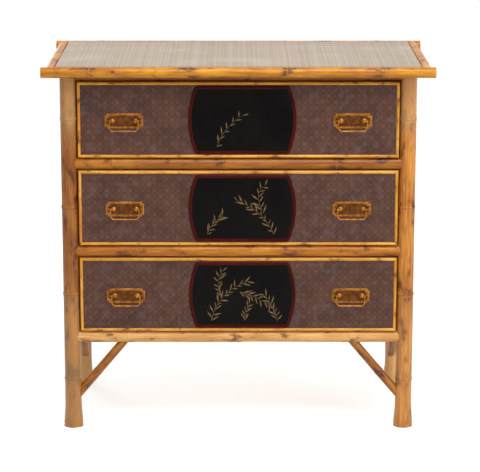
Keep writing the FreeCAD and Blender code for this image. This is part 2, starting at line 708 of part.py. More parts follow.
doc.recompute()
for item in doc.Objects:
    if "Invalid" in item.State or "Error" in item.State:
        raise RuntimeError(f"{item.Name} failed: {item.State}")
for piece in kept:
    if piece.Shape.isNull() or not piece.Shape.isValid() or not piece.Shape.Solids:
        raise RuntimeError(f"{piece.Label} has no sound shape")
os.makedirs("parts", exist_ok=True)
for piece in kept:
    piece.Shape.exportStep(f"parts/{piece.Label}.step")
print(len(kept), "nodes,", sum(len(piece.Shape.Solids) for piece in kept), "solids")
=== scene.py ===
import math

import bmesh
import bpy
from mathutils import Matrix, Vector


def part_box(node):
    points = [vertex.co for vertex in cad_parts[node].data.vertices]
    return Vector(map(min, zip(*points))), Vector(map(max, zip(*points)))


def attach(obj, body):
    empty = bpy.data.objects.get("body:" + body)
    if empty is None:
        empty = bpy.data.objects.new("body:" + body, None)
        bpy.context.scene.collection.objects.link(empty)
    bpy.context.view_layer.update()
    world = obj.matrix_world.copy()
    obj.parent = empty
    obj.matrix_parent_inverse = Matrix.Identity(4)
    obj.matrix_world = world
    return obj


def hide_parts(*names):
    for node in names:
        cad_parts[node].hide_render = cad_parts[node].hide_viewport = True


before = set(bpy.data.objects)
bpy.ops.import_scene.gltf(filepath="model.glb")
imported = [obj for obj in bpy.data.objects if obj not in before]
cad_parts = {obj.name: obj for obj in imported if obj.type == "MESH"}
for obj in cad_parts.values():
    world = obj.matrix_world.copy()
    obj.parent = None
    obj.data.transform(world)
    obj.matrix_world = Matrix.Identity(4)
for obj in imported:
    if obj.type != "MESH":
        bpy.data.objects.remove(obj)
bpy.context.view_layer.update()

# ---------------------------------------------------------------------------
# Posts. Four culms of honey-coloured bamboo stand root end down, so each foot
# swells into close rings. They are scorched at the nodes and varnished, and
# the rails and brackets are scribed and pinned to them.

mm = 0.001
left_and_right = (("left", -1), ("right", 1))


class Formula:
    """A value in a node tree, written with ordinary arithmetic. Brackets give another output of its node."""

    def __init__(self, socket):
        self.socket = socket
        self.tree = socket.id_data

    def __getitem__(self, output):
        return Formula(self.socket.node.outputs[output])

    def __neg__(self):
        return self * -1

    def __abs__(self):
        return calc("ABSOLUTE", self)


def teach(sign, operation):
    """Gives formulas one sign of arithmetic, with a plain value on either side of it."""
    setattr(Formula, f"__{sign}__", lambda self, other: calc(operation, self, other))
    setattr(Formula, f"__r{sign}__", lambda self, other: calc(operation, other, self))


for sign, operation in {"add": "ADD", "sub": "SUBTRACT", "mul": "MULTIPLY", "truediv": "DIVIDE",
                        "pow": "POWER", "mod": "MODULO"}.items():
    teach(sign, operation)


def colour(red, green, blue):
    """A colour named as on a screen, in the linear light that the shader works in."""
    return tuple((c / 255 / 12.92 if c < 10.3 else ((c / 255 + 0.055) / 1.055) ** 2.4)
                 for c in (red, green, blue)) + (1.0,)


def feed(slot, value):
    """A socket gets a link from a formula, or a plain value, and a colour as it is on a screen."""
    if isinstance(value, Formula):
        slot.id_data.links.new(value.socket, slot)
    else:
        slot.default_value = colour(*value) if slot.type == "RGBA" else value


def add_node(tree, kind, inputs=(), **settings):
    """The first output of a new node."""
    families = ("ShaderNode", "GeometryNode", "FunctionNode")
    node = tree.nodes.new(next(family + kind for family in families if hasattr(bpy.types, family + kind)))
    for key, value in settings.items():
        setattr(node, key, value)
    for key, value in dict(inputs).items():
        feed(node.inputs[key], value)
    return Formula(node.outputs[0])


def tree_of(values):
    return next(value.tree for value in values if isinstance(value, Formula))


def calc(operation, *values):
    """One step of arithmetic, on vectors where one of the values is a vector."""
    wide = any(isinstance(v, tuple) or isinstance(v, Formula) and v.socket.type == "VECTOR" for v in values)
    kind = "VectorMath" if wide else "Math"
    result = add_node(tree_of(values), kind, enumerate(values), operation=operation)
    return result["Value"] if operation in ("DOT_PRODUCT", "LENGTH") else result


def dot(first, second):
    return calc("DOT_PRODUCT", first, second)


def larger(first, second):
    return calc("MAXIMUM", first, second)


def whole(value):
    return calc("FLOOR", value)


def past_whole(value):
    """How far a count has come since its last whole number."""
    return value - whole(value)


def xyz(*parts):
    return add_node(tree_of(parts), "CombineXYZ", enumerate(parts))


def parts_of(vector):
    split = add_node(vector.tree, "SeparateXYZ", {0: vector})
    return [split[axis] for axis in "XYZ"]


def limited(value):
    return calc("MINIMUM", larger(value, 0), 1)


def ramp(value, start, finish):
    """Rises smoothly from 0 at one value to 1 at another."""
    return add_node(value.tree, "MapRange", {"Value": value, "From Min": start, "From Max": finish},
                    interpolation_type="SMOOTHSTEP")


def bell(value, width):
    """A rounded hump, 1 where the value is zero."""
    return calc("EXPONENT", -((value / width) ** 2))


def noise(vector, scale, detail=2.0, roughness=0.5):
    return add_node(vector.tree, "TexNoise",
                    {"Vector": vector, "Scale": scale, "Detail": detail, "Roughness": roughness})


def curve_through(value, points):
    """A smooth profile through a few points, each between 0 and 1."""
    result = add_node(value.tree, "FloatCurve", {"Value": value})
    mapping = result.socket.node.mapping
    profile = mapping.curves[0]
    for x, y in points[1:-1]:
        profile.points.new(x, y)
    profile.points[0].location = points[0]
    profile.points[-1].location = points[-1]
    mapping.update()
    return result


def geometry_tree(name, **inputs):
    """A geometry tree with one named input for each size, and the formulas that read them."""
    tree = bpy.data.node_groups.new(name, "GeometryNodeTree")
    kinds = {float: "Float", int: "Int", bool: "Bool", tuple: "Vector"}

    def opening(label, way, kind):
        return tree.interface.new_socket(label, in_out=way, socket_type="NodeSocket" + kind)

    opening("Geometry", "INPUT", "Geometry")
    for label, value in inputs.items():
        opening(label, "INPUT", kinds[type(value)]).default_value = value
    opening("Material", "INPUT", "Material")
    opening("Geometry", "OUTPUT", "Geometry")
    entry = tree.nodes.new("NodeGroupInput")
    return tree, {socket.name: Formula(socket) for socket in entry.outputs if socket.name}


def finish_tree(geometry, material):
    """The whole tree, ended with its instances made real and painted."""
    tree = geometry.tree
    realized = add_node(tree, "RealizeInstances", {"Geometry": geometry})
    painted = add_node(tree, "SetMaterial", {"Geometry": realized, "Material": material})
    feed(tree.nodes.new("NodeGroupOutput").inputs["Geometry"], painted)
    return tree


def stored(shape, label, value, domain="POINT"):
    """Keeps a value with the mesh, for its material to read."""
    kind = "FLOAT_VECTOR" if value.socket.type == "VECTOR" else "FLOAT"
    return add_node(shape.tree, "StoreNamedAttribute", {"Geometry": shape, "Name": label, "Value": value},
                    data_type=kind, domain=domain)


def smoothed(shape):
    return add_node(shape.tree, "SetShadeSmooth", {"Geometry": shape}, domain="FACE")


def grow(tree, material, base=None, **sizes):
    """The mesh that a geometry tree makes at these sizes."""
    holder = bpy.data.objects.new("holder", base or bpy.data.meshes.new("holder"))
    bpy.context.scene.collection.objects.link(holder)
    modifier = holder.modifiers.new("grow", "NODES")
    modifier.node_group = tree
    sizes["Material"] = material
    for item in tree.interface.items_tree:
        if item.in_out == "INPUT" and item.name in sizes:
            modifier[item.identifier] = sizes[item.name]
    mesh = bpy.data.meshes.new_from_object(holder.evaluated_get(bpy.context.evaluated_depsgraph_get()))
    bpy.data.objects.remove(holder)
    return mesh


def piece(name, meshes, body, slot, *stands_for):
    """One object from one or more meshes, riding on its body in place of the nodes it stands for."""
    joined = bmesh.new()
    materials = []
    for mesh in meshes:
        start = len(joined.faces)
        joined.from_mesh(mesh)
        joined.faces.ensure_lookup_table()
        for face in joined.faces[start:]:
            finish = mesh.materials[face.material_index]
            if finish not in materials:
                materials.append(finish)
            face.material_index = materials.index(finish)
    mesh = bpy.data.meshes.new(name)
    joined.to_mesh(mesh)
    joined.free()
    for finish in materials:
        mesh.materials.append(finish)
    made = bpy.data.objects.new(name, mesh)
    bpy.context.scene.collection.objects.link(made)
    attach(made, body)
    if stands_for:
        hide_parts(*stands_for)


def meeting(point, centre, axis, radius, hand, plain):
    """Where a line along Z through a point of the section meets a round mate."""
    up = (0.0, 0.0, 1.0)
    offset = point - centre
    across = offset - axis * dot(offset, axis)
    way = up - axis * dot(axis, up)
    steep = dot(way, way)
    lean = dot(across, way)
    room = dot(across, across) - radius * radius
    root = calc("SQRT", larger(lean * lean - steep * room, 0))
    met = (hand * root - lean) / steep
    return plain + (met - plain) * calc("GREATER_THAN", radius, 0)


def bamboo_tree():
    """A culm along Z: ridged at its nodes, grooved above each bud, with plain, mitred or scribed ends."""
    tree, size = geometry_tree(
        "bamboo culm", Length=0.8, Radius=0.019, Taper=0.03, Sides=40, Rings=240, Node_one=0.1, Pitch=0.2,
        Ridge=0.001, Groove=0.0008, Bend=0.0006, Flare=0.0, Split=False, Mitre=0.0, Seed=1.0, Darker=0.0,
        Pale_foot=0.0, Pale_head=0.0,
        Start_centre=(0.0, 0.0, 0.0), Start_axis=(1.0, 0.0, 0.0), Start_radius=0.0,
        End_centre=(0.0, 0.0, 0.0), End_axis=(1.0, 0.0, 0.0), End_radius=0.0)
    length, radius, pitch, seed = (size[label] for label in ("Length", "Radius", "Pitch", "Seed"))
    blank = add_node(tree, "MeshCylinder", {"Vertices": size["Sides"], "Side Segments": size["Rings"],
                                            "Radius": 1.0, "Depth": 1.0}, fill_type="TRIANGLE_FAN")
    x, y, z = parts_of(add_node(tree, "InputPosition"))
    y = larger(y, size["Split"] - 1)
    share = z + 0.5
    even = share * length
    # rings of the mesh crowd towards the nodes, where the profile is sharp
    window = limited(even / (pitch / 3)) * limited((length - even) / (pitch / 3))
    swing = calc("SINE", (even - size["Node_one"]) / pitch * math.tau) * pitch * (0.8 / math.tau)
    crowded = (even - swing * window) / length
    section = xyz(x * radius, y * radius, 0.0)
    mitre = size["Mitre"] * (x + 1) * radius
    start = meeting(section, size["Start_centre"], size["Start_axis"], size["Start_radius"], 1, mitre)
    end = meeting(section, size["End_centre"], size["End_axis"], size["End_radius"], -1, length - mitre)
    along = start + (end - start) * crowded
    count = (along - size["Node_one"]) / pitch
    from_node = (count - calc("ROUND", count)) * pitch / radius
    above = past_whole(count)
    # sheath scar, hollow and nodal ridge, from below a node to above it
    crest_span = 1.3
    crest = curve_through(limited(from_node / crest_span + 0.5), [
        (0, 0), (0.2, 0.03), (0.36, 0.14), (0.405, 0.22), (0.42, 0.8), (0.44, 0.78), (0.46, 0.4), (0.5, 0.48),
        (0.56, 1), (0.64, 0.55), (0.78, 0.12), (1, 0)])
    # buds stand on opposite sides of the culm in turn, each with a groove above it
    bud_side = whole(count) * math.pi + seed * 2.4
    angle = calc("WRAP", calc("ARCTAN2", y, x) - bud_side, math.pi, -math.pi)
    groove = bell(angle, 0.42) * ramp(above, 0.02, 0.06) * (1 - ramp(above, 0.12, 0.7)) * size["Groove"]
    bud = bell(angle, 0.2) * bell(from_node - 0.03, 0.09) * size["Ridge"] * 0.8
    # the root end of a post: a swelling cut by close rings
    root_length, root_ring = 0.07, 0.011
    root = 1 - ramp(along, 0.0, root_length)
    rings = abs(calc("COSINE", along / root_ring * math.pi)) ** 10 * root * 0.3
    foot = (root ** 1.6 + rings) * size["Flare"]
    # each culm takes its grain from a place of its own
    place = xyz(x * radius + seed * 7.31, y * radius + seed * 3.17, along + seed * 1.93)
    ripple = (noise(place, 28.0) - 0.5) * radius * 0.014
    reach = radius * (1 - size["Taper"] * share) + crest * size["Ridge"] - groove + bud + foot + ripple
    curve_x, curve_y = ((noise(xyz(seed, row, along), 4.0, 0.0) - 0.5) * calc("SINE", share * math.pi)
                        * size["Bend"] * 2 for row in (0.5, 9.5))
    moved = xyz(x * reach + curve_x, y * reach + curve_y * (1 - size["Split"]), along)

    shape = blank
    # lighter towards the foot and the head; on the posts this is painted light
    paler_and_painted_light = size["Pale_foot"] * (1 - ramp(share, 0.2, 0.5)) + size["Pale_head"] * ramp(share, 0.75, 0.87)
    kept = {"culm": place, "from_node": from_node, "darker": size["Darker"], "paler_and_painted_light": paler_and_painted_light}
    for label, value in kept.items():
        shape = stored(shape, label, value)
    ends = add_node(tree, "BooleanMath", {0: blank["Top"], 1: blank["Bottom"]}, operation="OR")
    shape = stored(shape, "cut_end", ends, "FACE")
    shape = smoothed(add_node(tree, "SetPosition", {"Geometry": shape, "Position": moved}))
    fold = add_node(tree, "InputMeshEdgeAngle")["Unsigned Angle"]
    sharpest_smooth = math.radians(42)
    sharp = calc("GREATER_THAN", fold, sharpest_smooth)
    shape = add_node(tree, "SetShadeSmooth", {"Geometry": shape, "Selection": sharp, "Shade Smooth": False},
                     domain="EDGE")
    return finish_tree(shape, size["Material"])


bamboo = bamboo_tree()


def standing(place, z, y):
    """Stands a mesh at a place, with its own Z and Y along these ways."""
    return Matrix.Translation(place) @ Matrix((y.cross(z), y, z)).transposed().to_4x4()


def culm(material, foot, head, radius, seed, outwards=(0, -1, 0), start_mate=None, end_mate=None, **sizes):
    """A pole from one point to another. A mate is a round piece, given by a point, an axis and a radius."""
    foot, head = Vector(foot), Vector(head)
    z = (head - foot).normalized()
    y = Vector(outwards)
    y = (y - z * y.dot(z)).normalized()
    stand = standing(foot, z, y)
    back = stand.inverted()
    for label, mate in (("Start", start_mate), ("End", end_mate)):
        if mate:
            centre, axis, reach = mate
            sizes[label + "_centre"] = tuple(back @ Vector(centre))
            sizes[label + "_axis"] = tuple((back.to_3x3() @ Vector(axis)).normalized())
            sizes[label + "_radius"] = reach
    mesh = grow(bamboo, material, Length=(head - foot).length, Radius=radius, Seed=seed, **sizes)
    mesh.transform(stand)
    return mesh


def new_material(name):
    material = bpy.data.materials.new(name)
    material.use_nodes = True
    return material, material.node_tree


def object_place(tree):
    return add_node(tree, "TexCoord")["Object"]


def attribute(tree, name, output="Fac"):
    return add_node(tree, "Attribute", attribute_name=name)[output]


def mixed(share, first, second, blend_type="MIX"):
    return add_node(tree_of((share, first, second)), "Mix", {"Factor": share, 6: first, 7: second},
                    data_type="RGBA", blend_type=blend_type)[2]


def coated(base, *coats):
    """A colour under others that cover it in turn, each given with its share."""
    for share, shade in coats:
        base = mixed(share, base, shade)
    return base


def finished(material, base, roughness, relief=None, **constants):
    """A material with its shader fed. The relief is a height, a strength and a distance."""
    shader = material.node_tree.nodes["Principled BSDF"]
    feed(shader.inputs["Base Color"], base)
    feed(shader.inputs["Roughness"], roughness)
    for label, value in constants.items():
        feed(shader.inputs[label.replace("_", " ")], value)
    if relief:
        bump = add_node(material.node_tree, "Bump", zip(("Height", "Strength", "Distance"), relief))
        feed(shader.inputs["Normal"], bump)
    return material


def bamboo_finish(name, pale, deep, burnt):
    """Varnished bamboo: fine fibres, tan clouds, amber and brown scorch marks, a dark line at each node."""
    material, tree = new_material(name)
    place = attribute(tree, "culm", "Vector")
    from_node = attribute(tree, "from_node")
    fibres = noise(place * (1, 1, 0.02), 1500.0, 3.0)
    streaks = noise(place * (1, 1, 0.06), 220.0, 2.0)
    clouds = noise(place * (1, 1, 0.35), 24.0, 2.0)
    flecks = noise(place * (1, 1, 0.45), 62.0, 3.0, 0.55)
    heat = flecks + bell(from_node, 1.1) * 0.1 + clouds * 0.25
    base = coated(
        mixed(ramp(streaks * 0.5 + clouds * 0.5, 0.38, 0.62), pale, deep),
        (ramp(fibres, 0.35, 0.8) * 0.35, deep),
        (ramp(heat, 0.6, 0.72) * 0.55, deep),
        (ramp(heat, 0.71, 0.82) * 0.8, burnt),
        (bell(from_node + 0.16, 0.13) * 0.45, pale),
        (bell(from_node + 0.085, 0.022) * 0.85, burnt))
    cut = attribute(tree, "cut_end")
    end_grain = mixed(ramp(noise(place, 1400.0, 1.0), 0.45, 0.62), (206, 170, 112), (120, 78, 38))
    # multiplied towards brown where the culm is set dark; on the front rails this is painted shade
    base = coated(mixed(attribute(tree, "darker"), base, (150, 124, 96), "MULTIPLY"),
                  # lifted towards light tan where the culm is set light, which on the posts is painted light
                  (attribute(tree, "paler_and_painted_light"), (232, 184, 122)), (cut, end_grain))
    return finished(material, base, 0.34 + fibres * 0.12 + cut * 0.3,
                    (fibres * 0.6 + streaks * 0.4, 0.25, 0.4 * mm),
                    Specular_IOR_Level=0.25, Coat_Weight=0.15, Coat_Roughness=0.1)


bamboo_of_posts = bamboo_finish("bamboo_of_posts", (206, 138, 54), (160, 92, 24), (76, 36, 12))
pale_bamboo_and_painted_light = bamboo_finish("pale_bamboo_and_painted_light", (228, 177, 107), (197, 140, 76), (98, 54, 22))
post_radius = 19 * mm
post_axes = {}
# The rear posts take the pale cane with a much lighter foot, and every post has a lighter head: painted
# light, for the light that reaches the rear legs from behind and off the floor, and the post heads from the
# sides under the top. The front posts are a little lighter at the foot, the left one more, and the left front
# post is darkened all along.
for end, finish, pale_foot_and_painted_light in (("front", bamboo_of_posts, 0.2), ("rear", pale_bamboo_and_painted_light, 0.6)):
    for side, hand in left_and_right:
        low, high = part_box(f"{end}_{side}_post")
        spot = (low + high) / 2
        post_axes[end, side] = ((spot.x, spot.y, 0), (0, 0, 1), post_radius)
        mesh = culm(finish, (spot.x, spot.y, low.z), (spot.x, spot.y, high.z), post_radius,
                    seed=1.0 + 0.7 * len(post_axes), outwards=(hand, 0, 0), Sides=44, Rings=300,
                    Node_one=0.113, Pitch=0.202, Ridge=1.3 * mm, Flare=3 * mm,
                    Darker=0.3 - 0.3 * hand, Pale_foot=pale_foot_and_painted_light - 0.05 * hand, Pale_head=0.35)
        piece(f"bamboo_{end}_{side}_post", [mesh], "case", "bamboo", f"{end}_{side}_post")

# ---------------------------------------------------------------------------
# Front rails. Straight canes without a root end lie between the front posts,
# their ends scribed to fit round them. The bottom one is a paler cane, and
# the top one is thinner.

bamboo_of_rails = bamboo_finish("bamboo_of_rails", (208, 138, 32), (164, 94, 12), (78, 38, 12))
rail_radius = 14 * mm
rail_node_stagger = 30 * mm
left_post, right_post = post_axes["front", "left"], post_axes["front", "right"]
half_gap = (right_post[0][0] - left_post[0][0]) / 2
# Every rail above the bottom one is darkened, the top one most: painted shade, for the shadow cast by the
# overhang of the top and the shade in the gaps round the drawers.
front_rails = (("bottom", 0, 0, pale_bamboo_and_painted_light), ("lower", 1, 0.15, bamboo_of_rails),
               ("upper", -1, 0.45, bamboo_of_rails), ("top", 0.5, 0.9, bamboo_of_rails))
for number, (level, shift, darker, finish) in enumerate(front_rails):
    low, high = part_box(level + "_front_rail")
    line = (low + high) / 2
    radius = min(rail_radius, (high.z - low.z) / 2 - 0.5 * mm)
    mesh = culm(finish, (-half_gap, line.y, line.z), (half_gap, line.y, line.z), radius,
                seed=5.2 + number * 1.3, start_mate=left_post, end_mate=right_post, Rings=260,
                Pitch=half_gap / 1.5, Node_one=half_gap / 3 + shift * rail_node_stagger,
                Ridge=1.0 * mm, Taper=0.02, Darker=darker)
    piece(f"bamboo_{level}_front_rail", [mesh], "case", "bamboo", level + "_front_rail")

# ---------------------------------------------------------------------------
# Side rails. Culms split down the middle are nailed flat to the side boards,
# one low and one high on each side, and scribed between the posts.

side_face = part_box("right_side_board")[1].x
rail_heights = [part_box("bottom_front_rail")[0].z + rail_radius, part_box("side_rails")[1].z - rail_radius]
meshes = []
for side, hand in left_and_right:
    front, rear = post_axes["front", side], post_axes["rear", side]
    for number, height in enumerate(rail_heights):
        ends = ((hand * side_face, post[0][1], height) for post in (front, rear))
        meshes.append(culm(bamboo_of_rails, *ends, rail_radius, seed=11.0 + number + 2.6 * hand,
                           outwards=(hand, 0, 0), start_mate=front, end_mate=rear, Rings=120,
                           Node_one=0.12, Pitch=0.24, Ridge=0.9 * mm, Taper=0.02, Split=True))
piece("split_bamboo_side_rails", meshes, "case", "bamboo", "side_rails")

# ---------------------------------------------------------------------------
# Brackets. Thinner canes run as open diagonals from each leg up to the lowest
# rails and stiffen the legs. Both their ends are scribed and pinned.

bracket_radius = 10 * mm
bracket_drop = 115 * mm
bracket_run = 97 * mm
side_bracket_inset = 2 * mm
case_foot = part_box("right_side_board")[0].z
lowest_rail = rail_heights[0]


def bracket(x, post, lean, outwards, rail, seed):
    """A diagonal from a post up to a rail, leaning one way by its run for each drop."""
    foot_z = case_foot - bracket_drop * (1 + post_radius / bracket_run)
    foot = Vector((x, post[0][1], foot_z))
    head = foot + (Vector((0, 0, 1)) + Vector(lean) * bracket_run / bracket_drop) * (lowest_rail - foot_z)
    return culm(bamboo_of_posts, foot, head, bracket_radius, seed, outwards=outwards, start_mate=post,
                end_mate=rail, Sides=32, Rings=100, Node_one=0.088, Pitch=0.3, Ridge=0.8 * mm, Darker=0.4)


side_meshes = []
for side, hand in left_and_right:
    post = post_axes["front", side]
    front_rail = ((0, post[0][1], lowest_rail), (1, 0, 0), rail_radius)
    mesh = bracket(post[0][0], post, (-hand, 0, 0), (0, -1, 0), front_rail, 17.0 + hand)
    piece(f"bamboo_front_{side}_bracket", [mesh], "case", "bamboo", f"front_{side}_bracket")
    side_rail = ((hand * side_face, 0, lowest_rail), (0, 1, 0), rail_radius)
    for end, inwards in (("front", 1), ("rear", -1)):
        side_meshes.append(bracket(hand * (side_face + side_bracket_inset), post_axes[end, side],
                                   (0, inwards, 0), (hand, 0, 0), side_rail, 21.5 + inwards + 2 * hand))
piece("bamboo_side_brackets", side_meshes, "case", "bamboo", "side_brackets")

# ---------------------------------------------------------------------------
# Case. Planed pine boards, left bare where the bamboo and the paper don't
# cover them: sides, back, bottom, rails behind the bamboo, runners and stops.


def pine_finish(name, grain, across, width, start, heart, joint=0.0):
    """Old planed pine. Each board of this width across is sawn from its own place in a log, whose heart
    lies off along the third axis, and shows growth rings, pores, some knots and darker end grain."""
    material, tree = new_material(name)
    place = object_place(tree)
    axes = dict(zip("xyz", parts_of(place)))
    through = axes[next(axis for axis in "xyz" if axis not in (grain, across))]
    count = (axes[across] - start) / width
    board = whole(count)
    own = add_node(tree, "TexWhiteNoise", {"W": board + 0.5}, noise_dimensions="1D")["Value"]
    sideways = (count - board - 0.5) * width + (own - 0.5) * width * 0.6
    deep_in = abs(through) - heart
    run = axes[grain] + own * 3
    # one knot in each cell of the board, and rings that flow round it
    knot_across, knot_along, ring_width = 110 * mm, 340 * mm, 5.2 * mm
    cells = xyz(sideways / knot_across, run / knot_along, own * 9)
    knot = add_node(tree, "TexVoronoi", {"Vector": cells, "Scale": 1.0})["Position"]
    from_knot = calc("LENGTH", (knot - cells) * (0.11, 0.2, 0.06))
    waver = noise(xyz(sideways, run * 0.12, own * 5), 14.0, 2.0) - 0.5
    from_heart = calc("SQRT", sideways * sideways + deep_in * deep_in)
    ring = past_whole((from_heart + waver * 0.016 + bell(from_knot, 0.018) * 0.012) / ring_width)
    late = ramp(ring, 0.35, 0.88) * (1 - ramp(ring, 0.9, 1.0))
    fine = noise(place * tuple(0.04 if axis == grain else 1.0 for axis in "xyz"), 900.0, 2.0)
    facing = dict(zip("xyz", parts_of(place["Normal"])))[grain]
    base = coated(
        mixed(late * (0.3 + own * 0.25), (212, 172, 120), (160, 108, 60)),
        (ramp(fine, 0.45, 0.75) * 0.3, (164, 112, 64)),
        (own * 0.25, (176, 130, 82)),
        ((1 - ramp(from_knot, 0.004, 0.008)) * 0.8, (96, 54, 26)),
        (noise(place, 5.0, 3.0) * 0.35, (150, 118, 86)),
        (ramp(abs(facing), 0.6, 0.8) * 0.7, (118, 76, 42)))
    if joint:
        from_joint = (0.5 - abs(count - board - 0.5)) * width
        base = mixed(bell(from_joint, joint) * 0.75, base, (60, 40, 26))
    return finished(material, base, 0.58 + fine * 0.2, (late * 0.4 + fine, 0.2, 0.5 * mm))


def repaint(node, material):
    """A node whose shape is right keeps it, with a better finish."""
    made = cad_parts[node]
    made.data.materials.clear()
    made.data.materials.append(material)


bottom_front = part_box("bottom_drawer_front_board")[0].z
drawer_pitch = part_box("middle_drawer_front_board")[0].z - bottom_front
drawer_start = bottom_front - 0.1 * drawer_pitch
low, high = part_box("back_board")
back_board_width = (high.x - low.x) / 4
pine_across = pine_finish("pine_across", "x", "z", drawer_pitch, drawer_start, heart=0.06)
pine_deep = pine_finish("pine_deep", "y", "z", drawer_pitch, drawer_start, heart=0.31)
pine_of_sides = pine_finish("pine_of_sides", "z", "y", 0.19, -0.2, heart=0.31)
pine_of_back = pine_finish("pine_of_back", "z", "x", back_board_width, low.x, heart=0.13, joint=0.9 * mm)
for material, boards in ((pine_of_sides, ("left_side_board", "right_side_board")),
                         (pine_of_back, ("back_board", "drawer_stops")),
                         (pine_across, ("bottom_board", "rail_boards", "top_board")),
                         (pine_deep, ("drawer_runners",))):
    for board in boards:
        repaint(board, material)

# ---------------------------------------------------------------------------
# Side matting. Brown embossed leather paper, pasted to each side board and
# framed with strips of split bamboo that are mitred and pinned.

paper_cell = 27 * mm
paper_relief = 0.4 * mm


def paper_pattern(x, y, cell):
    """A lattice of slanting bands with a small four-petalled flower in each lozenge."""
    a, b = (past_whole(slant / cell) - 0.5 for slant in (x + y, x - y))
    bands = larger(bell(0.5 - abs(a), 0.055), bell(0.5 - abs(b), 0.055))
    out = calc("SQRT", a * a + b * b)
    petals = 1 - ramp(out - abs(calc("COSINE", calc("ARCTAN2", b, a) * 2)) * 0.17, 0.08, 0.17)
    return bands, petals, bell(out, 0.045)


def paper_tree():
    """An embossed sheet in the XY plane, its relief towards +Z."""
    tree, size = geometry_tree("embossed paper", Width=0.7, Height=0.16, Cell=0.027, Relief=0.0004,
                               Columns=350, Rows=80)
    grid = add_node(tree, "MeshGrid", {"Size X": size["Width"], "Size Y": size["Height"],
                                       "Vertices X": size["Columns"], "Vertices Y": size["Rows"]})
    place = add_node(tree, "InputPosition")
    x, y, _ = parts_of(place)
    bands, petals, eye = paper_pattern(x, y, size["Cell"])
    height = (petals * 0.8 - eye * 0.5 + bands * 0.35) * size["Relief"]
    cockle = (noise(place, 30.0, 1.0) - 0.5) * size["Relief"] * 0.4
    shape = add_node(tree, "SetPosition", {"Geometry": stored(grid, "paper", place),
                                           "Offset": xyz(0, 0, height + cockle)})
    return finish_tree(smoothed(shape), size["Material"])


def paper_finish():
    """Leather paper, maroon brown with a mauve-grey bloom, its raised parts rubbed to bronze."""
    material, tree = new_material("leather_paper")
    x, y, _ = parts_of(attribute(tree, "paper", "Vector"))
    bands, petals, eye = paper_pattern(x, y, paper_cell)
    place = object_place(tree)
    clouds = noise(place, 22.0, 3.0, 0.6)
    bloom = noise(place + (3.0, 1.0, 0.0), 55.0, 3.0, 0.6)
    grain = noise(place, 900.0, 3.0, 0.6)
    raised = limited(petals * (1 - eye) * 0.75 + bands * 0.5)
    rubbed = ramp(grain * 0.5 + clouds * 0.5, 0.3, 0.62)
    base = coated(
        mixed(ramp(clouds, 0.35, 0.65), (66, 41, 32), (80, 51, 40)),
        (ramp(bloom, 0.5, 0.68) * 0.5, (92, 72, 76)),
        (raised * rubbed * 0.55, (122, 82, 54)),
        (eye * 0.5, (46, 26, 20)))
    return finished(material, base, 0.5 + grain * 0.15 - raised * 0.12,
                    (bands * 0.9 + petals * 0.3 + grain * 0.35, 0.5, 0.4 * mm), Specular_IOR_Level=0.25)


embossed_paper = paper_tree()
leather_paper = paper_finish()


def back_face(mesh, depth):
    """Closes an open sheet with sides and a flat back, depth below its lowest edge."""
    sheet = bmesh.new()
    sheet.from_mesh(mesh)
    rim = [edge for edge in sheet.edges if edge.is_boundary]
    made = bmesh.ops.extrude_edge_only(sheet, edges=rim)["geom"]
    for vertex in (item for item in made if isinstance(item, bmesh.types.BMVert)):
        vertex.co.z = -depth
    bmesh.ops.contextual_create(sheet, geom=[item for item in made if isinstance(item, bmesh.types.BMEdge)])
    for edge in rim:
        edge.smooth = False
    bmesh.ops.recalc_face_normals(sheet, faces=sheet.faces)
    sheet.to_mesh(mesh)
    sheet.free()


def paper_sheet(centre, width, height, thick, outwards):
    """A pasted sheet of embossed paper on an upright face."""
    fineness = 2 * mm
    mesh = grow(embossed_paper, leather_paper, Width=width, Height=height, Cell=paper_cell,
                Relief=paper_relief, Columns=round(width / fineness), Rows=round(height / fineness))
    back_face(mesh, thick - paper_relief)
    z = Vector(outwards)
    mesh.transform(standing(Vector(centre) - z * paper_relief, z, Vector((0, 0, 1))))
    return mesh


low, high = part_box("side_matting")
middle = (low + high) / 2
meshes = [paper_sheet((hand * high.x, middle.y, middle.z), high.y - low.y, high.z - low.z,
                      high.x - side_face, (hand, 0, 0)) for side, hand in left_and_right]
piece("embossed_side_paper", meshes, "case", "matting", "side_matting")

strip_radius = 3.5 * mm
bamboo_of_strips = bamboo_finish("bamboo_of_strips", (228, 168, 64), (192, 122, 32), (96, 50, 18))


def strip_frame(corners, outwards, seed):
    """Half-round strips round four corners, listed so that the inside lies to the left of each."""
    meshes = []
    for number, corner in enumerate(corners):
        start, end = Vector(corner), Vector(corners[(number + 1) % 4])
        line = end - start
        inwards = Vector(outwards).cross(line.normalized()) * strip_radius
        meshes.append(culm(bamboo_of_strips, start + inwards, end + inwards, strip_radius,
                           seed + 0.37 * number, outwards=outwards, Sides=16,
                           Rings=round(line.length / (5 * mm)), Node_one=0.04, Pitch=0.094,
                           Ridge=0.35 * mm, Groove=0.2 * mm, Bend=0.0, Taper=0.0, Split=True, Mitre=1.0))
    return meshes


def iron_finish():
    """Dark wrought iron, browned with a little rust."""
    material, tree = new_material("dark_iron")
    rust = noise(object_place(tree), 400.0, 3.0)
    base = mixed(ramp(rust, 0.45, 0.7), (92, 88, 84), (104, 66, 44))
    return finished(material, base, 0.4 + rust * 0.25, Metallic=0.8)


